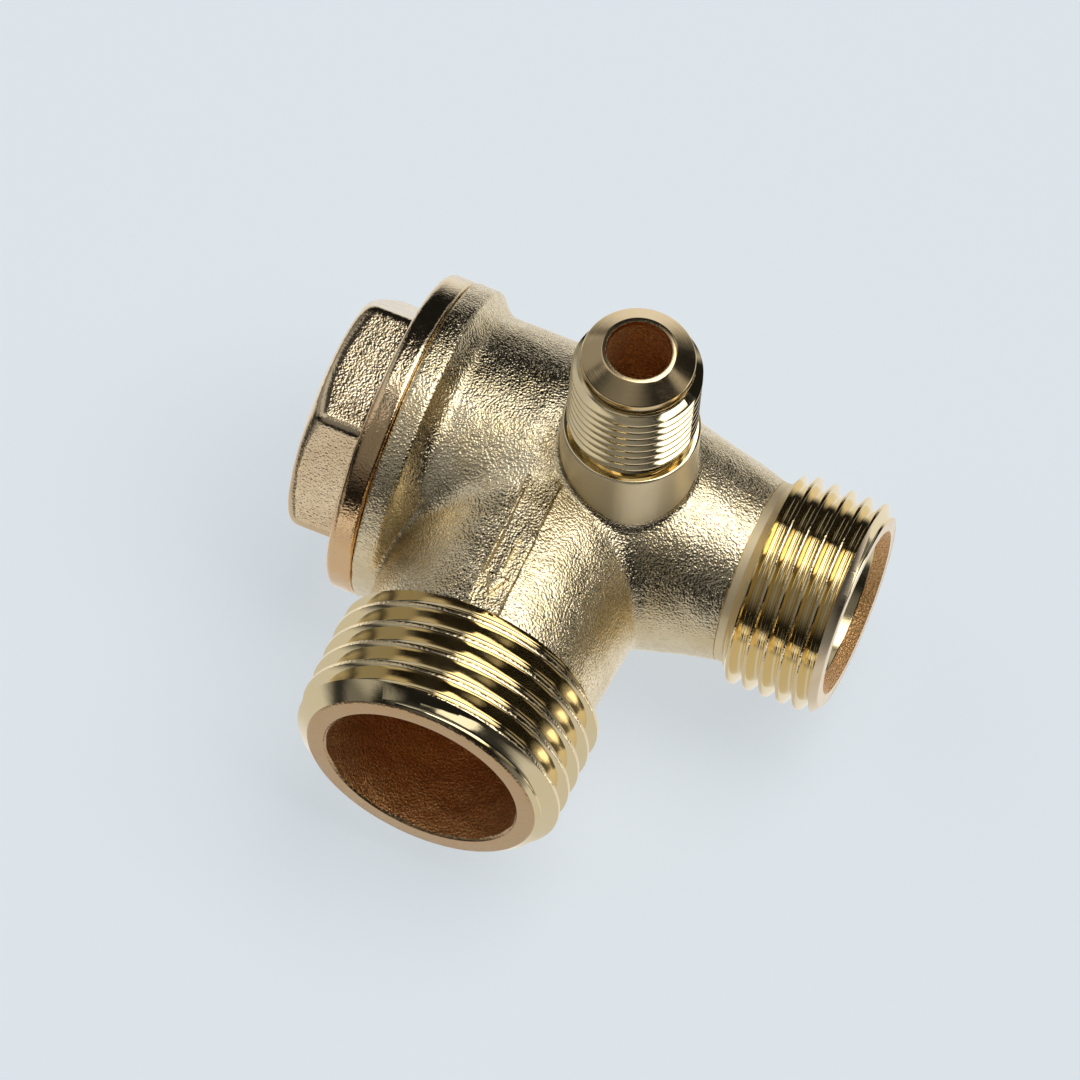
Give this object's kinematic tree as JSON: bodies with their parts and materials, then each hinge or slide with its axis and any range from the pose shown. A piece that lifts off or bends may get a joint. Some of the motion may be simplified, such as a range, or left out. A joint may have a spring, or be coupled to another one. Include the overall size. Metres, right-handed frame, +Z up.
{
  "type": "check valve",
  "caption": "Brass three-port compressor check valve: threaded tank, inlet and unloader ports, hex cap over a spring-loaded poppet with a rubber seal disc.",
  "frame": {"origin": "centre of the tank port's thread at its shoulder", "axes": "+X along the main axis towards the inlet port, the cap nut is at -X; the tank port points along -Y; +Z up along the unloader port"},
  "size_m": [0.0425, 0.0389, 0.0372],
  "materials": {
    "cast_brass": "shot-blasted pale champagne cast brass with bright machined threads",
    "cap_brass": "grainy forged brass, slightly rosier than the body",
    "o_ring_rubber": "matt black nitrile",
    "turned_brass": "fine turned brass",
    "seal_rubber": "matt black nitrile",
    "stainless": "turned stainless steel",
    "spring_steel": "drawn stainless spring wire"
  },
  "bodies": {
    "housing": {"valve_body": "cast_brass"},
    "cap_carrier": {"cap_o_ring": "o_ring_rubber"},
    "cap": {"cap_nut": "cap_brass"},
    "poppet": {"check_piston": "turned_brass", "seal_disc": "seal_rubber", "disc_washer": "stainless", "disc_screw": "stainless", "return_spring": "spring_steel"}
  },
  "joints": [
    {"name": "cap_travel", "type": "slide", "parent": "housing", "child": "cap_carrier", "axis": [-1, 0, 0], "range_m": [0, 0.003]},
    {"name": "cap_turn", "type": "hinge", "parent": "cap_carrier", "child": "cap", "pos_m": [-0.0138, 0.0165, 0], "axis": [-1, 0, 0], "range_deg": [0, 721]},
    {"name": "poppet_lift", "type": "slide", "parent": "housing", "child": "poppet", "axis": [-1, 0, 0], "range_m": [0, 0.0035], "deforming": ["return_spring"]}
  ],
  "couplings": [
    {"joint": "cap_turn", "follows": "cap_travel", "rad_per_m": 4188.8}
  ]
}
